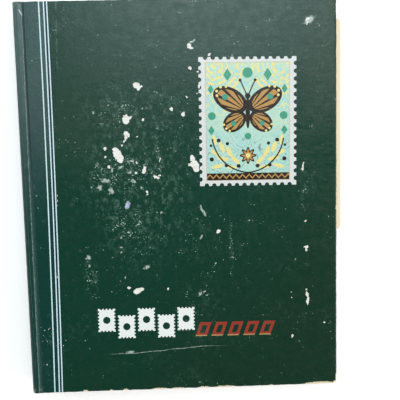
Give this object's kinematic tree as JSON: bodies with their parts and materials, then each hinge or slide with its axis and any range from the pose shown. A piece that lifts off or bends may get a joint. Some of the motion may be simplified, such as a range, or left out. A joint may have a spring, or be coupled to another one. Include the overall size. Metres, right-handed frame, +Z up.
{
  "type": "stamp album",
  "caption": "Closed hardcover stamp stock album with grooved covers that open flat, turning leaves with clear film pockets, glassine interleaves and a loose stock card.",
  "frame": {"origin": "middle of the back cover's outer face, on which the closed album lies", "axes": "+X from the spine to the fore edge, +Y from tail to head, +Z up out of the front cover"},
  "size_m": [0.2177, 0.264, 0.0239],
  "materials": {
    "cover_wrap": "dark green printed paper with a gloss laminate, scuffed and chipped",
    "board": "bare grey-cream board",
    "endpaper": "matt cream endpaper",
    "lining": "matt kraft paper",
    "cord": "twisted cotton cord",
    "thread": "waxed linen thread",
    "band": "woven cotton band",
    "stock_card": "matt ivory card",
    "linen": "woven book linen",
    "clear_film": "clear gloss film",
    "glassine": "translucent smooth glassine",
    "loose_card": "matt cream card"
  },
  "bodies": {
    "back_cover": {"back_board": "board", "back_cover_wrap": "cover_wrap", "back_pastedown": "endpaper"},
    "spine": {"spine_board": "board", "spine_wrap": "cover_wrap", "spine_lining": "lining", "front_joint": "cover_wrap", "back_joint": "cover_wrap"},
    "front_cover": {"front_board": "board", "front_cover_wrap": "cover_wrap", "front_pastedown": "endpaper"},
    "block": {"binding_cord": "cord", "sewing_thread": "thread", "head_band": "band", "tail_band": "band"},
    "front_flyleaf": {"front_flyleaf": "endpaper"},
    "back_flyleaf": {"back_flyleaf": "endpaper"},
    "loose_card": {"loose_card": "loose_card", "loose_card_strips": "clear_film"},
    "leaf_1": {"leaf_1_card": "stock_card", "leaf_1_hinge": "linen", "leaf_1_front_strips": "clear_film", "leaf_1_back_strips": "clear_film"},
    "interleaf_1": {"interleaf_1": "glassine"},
    "leaf_2": {"leaf_2_card": "stock_card", "leaf_2_hinge": "linen", "leaf_2_front_strips": "clear_film", "leaf_2_back_strips": "clear_film"},
    "interleaf_2": {"interleaf_2": "glassine"},
    "leaf_3": {"leaf_3_card": "stock_card", "leaf_3_hinge": "linen", "leaf_3_front_strips": "clear_film", "leaf_3_back_strips": "clear_film"},
    "interleaf_3": {"interleaf_3": "glassine"},
    "leaf_4": {"leaf_4_card": "stock_card", "leaf_4_hinge": "linen", "leaf_4_front_strips": "clear_film", "leaf_4_back_strips": "clear_film"},
    "interleaf_4": {"interleaf_4": "glassine"},
    "leaf_5": {"leaf_5_card": "stock_card", "leaf_5_hinge": "linen", "leaf_5_front_strips": "clear_film", "leaf_5_back_strips": "clear_film"},
    "interleaf_5": {"interleaf_5": "glassine"},
    "leaf_6": {"leaf_6_card": "stock_card", "leaf_6_hinge": "linen", "leaf_6_front_strips": "clear_film", "leaf_6_back_strips": "clear_film"},
    "interleaf_6": {"interleaf_6": "glassine"},
    "leaf_7": {"leaf_7_card": "stock_card", "leaf_7_hinge": "linen", "leaf_7_front_strips": "clear_film", "leaf_7_back_strips": "clear_film"},
    "interleaf_7": {"interleaf_7": "glassine"},
    "leaf_8": {"leaf_8_card": "stock_card", "leaf_8_hinge": "linen", "leaf_8_front_strips": "clear_film", "leaf_8_back_strips": "clear_film"}
  },
  "joints": [
    {"name": "front_cover_hinge", "type": "hinge", "parent": "spine", "child": "front_cover", "pos_m": [-0.103, 0, 0.02089], "axis": [0, -1, 0], "range_deg": [0, 90], "deforming": ["front_joint"]},
    {"name": "spine_hinge", "type": "hinge", "parent": "back_cover", "child": "spine", "pos_m": [-0.103, 0, 0.003], "axis": [0, -1, 0], "range_deg": [0, 90], "deforming": ["back_joint"]},
    {"name": "block_shift", "type": "slide", "parent": "back_cover", "child": "block", "axis": [-1, 0, 0], "range_m": [0, 0.01104]},
    {"name": "front_flyleaf_turn", "type": "hinge", "parent": "block", "child": "front_flyleaf", "pos_m": [-0.101, 0, 0.01195], "axis": [0, -1, 0], "range_deg": [0, 180]},
    {"name": "leaf_1_turn", "type": "hinge", "parent": "block", "child": "leaf_1", "pos_m": [-0.101, 0, 0.01195], "axis": [0, -1, 0], "range_deg": [0, 180]},
    {"name": "interleaf_1_turn", "type": "hinge", "parent": "block", "child": "interleaf_1", "pos_m": [-0.101, 0, 0.01195], "axis": [0, -1, 0], "range_deg": [0, 180]},
    {"name": "leaf_2_turn", "type": "hinge", "parent": "block", "child": "leaf_2", "pos_m": [-0.101, 0, 0.01195], "axis": [0, -1, 0], "range_deg": [0, 180]},
    {"name": "interleaf_2_turn", "type": "hinge", "parent": "block", "child": "interleaf_2", "pos_m": [-0.101, 0, 0.01195], "axis": [0, -1, 0], "range_deg": [0, 180]},
    {"name": "leaf_3_turn", "type": "hinge", "parent": "block", "child": "leaf_3", "pos_m": [-0.101, 0, 0.01195], "axis": [0, -1, 0], "range_deg": [0, 180]},
    {"name": "interleaf_3_turn", "type": "hinge", "parent": "block", "child": "interleaf_3", "pos_m": [-0.101, 0, 0.01195], "axis": [0, -1, 0], "range_deg": [0, 180]},
    {"name": "leaf_4_turn", "type": "hinge", "parent": "block", "child": "leaf_4", "pos_m": [-0.101, 0, 0.01195], "axis": [0, -1, 0], "range_deg": [0, 180]},
    {"name": "interleaf_4_turn", "type": "hinge", "parent": "block", "child": "interleaf_4", "pos_m": [-0.101, 0, 0.01195], "axis": [0, -1, 0], "range_deg": [0, 180]},
    {"name": "leaf_5_turn", "type": "hinge", "parent": "block", "child": "leaf_5", "pos_m": [-0.101, 0, 0.01195], "axis": [0, -1, 0], "range_deg": [0, 180]},
    {"name": "interleaf_5_turn", "type": "hinge", "parent": "block", "child": "interleaf_5", "pos_m": [-0.101, 0, 0.01195], "axis": [0, -1, 0], "range_deg": [0, 180]},
    {"name": "leaf_6_turn", "type": "hinge", "parent": "block", "child": "leaf_6", "pos_m": [-0.101, 0, 0.01195], "axis": [0, -1, 0], "range_deg": [0, 180]},
    {"name": "interleaf_6_turn", "type": "hinge", "parent": "block", "child": "interleaf_6", "pos_m": [-0.101, 0, 0.01195], "axis": [0, -1, 0], "range_deg": [0, 180]},
    {"name": "leaf_7_turn", "type": "hinge", "parent": "block", "child": "leaf_7", "pos_m": [-0.101, 0, 0.01195], "axis": [0, -1, 0], "range_deg": [0, 180]},
    {"name": "interleaf_7_turn", "type": "hinge", "parent": "block", "child": "interleaf_7", "pos_m": [-0.101, 0, 0.01195], "axis": [0, -1, 0], "range_deg": [0, 180]},
    {"name": "leaf_8_turn", "type": "hinge", "parent": "block", "child": "leaf_8", "pos_m": [-0.101, 0, 0.01195], "axis": [0, -1, 0], "range_deg": [0, 180]},
    {"name": "back_flyleaf_turn", "type": "hinge", "parent": "block", "child": "back_flyleaf", "pos_m": [-0.101, 0, 0.01195], "axis": [0, -1, 0], "range_deg": [0, 180]},
    {"name": "loose_card_slide", "type": "slide", "parent": "leaf_5", "child": "loose_card", "axis": [1, 0, 0], "range_m": [-0.012, 0.09]}
  ],
  "couplings": [
    {"joint": "spine_hinge", "follows": "front_cover_hinge", "ratio": 1},
    {"joint": "block_shift", "follows": "front_cover_hinge", "m_per_rad": 0.0069678},
    {"joint": "front_flyleaf_turn", "follows": "front_cover_hinge", "ratio": 1.9972},
    {"joint": "leaf_1_turn", "follows": "front_cover_hinge", "ratio": 1.9944},
    {"joint": "interleaf_1_turn", "follows": "front_cover_hinge", "ratio": 1.9917},
    {"joint": "leaf_2_turn", "follows": "front_cover_hinge", "ratio": 1.9889},
    {"joint": "interleaf_2_turn", "follows": "front_cover_hinge", "ratio": 1.9861},
    {"joint": "leaf_3_turn", "follows": "front_cover_hinge", "ratio": 1.9833},
    {"joint": "interleaf_3_turn", "follows": "front_cover_hinge", "ratio": 1.9806},
    {"joint": "leaf_4_turn", "follows": "front_cover_hinge", "ratio": 1.9778},
    {"joint": "interleaf_4_turn", "follows": "front_cover_hinge", "ratio": 1.9667},
    {"joint": "leaf_5_turn", "follows": "front_cover_hinge", "ratio": 0.022222},
    {"joint": "interleaf_5_turn", "follows": "front_cover_hinge", "ratio": 0.019444},
    {"joint": "leaf_6_turn", "follows": "front_cover_hinge", "ratio": 0.016667},
    {"joint": "interleaf_6_turn", "follows": "front_cover_hinge", "ratio": 0.013889},
    {"joint": "leaf_7_turn", "follows": "front_cover_hinge", "ratio": 0.011111},
    {"joint": "interleaf_7_turn", "follows": "front_cover_hinge", "ratio": 0.0083333},
    {"joint": "leaf_8_turn", "follows": "front_cover_hinge", "ratio": 0.0055556},
    {"joint": "back_flyleaf_turn", "follows": "front_cover_hinge", "ratio": 0.0027778}
  ]
}
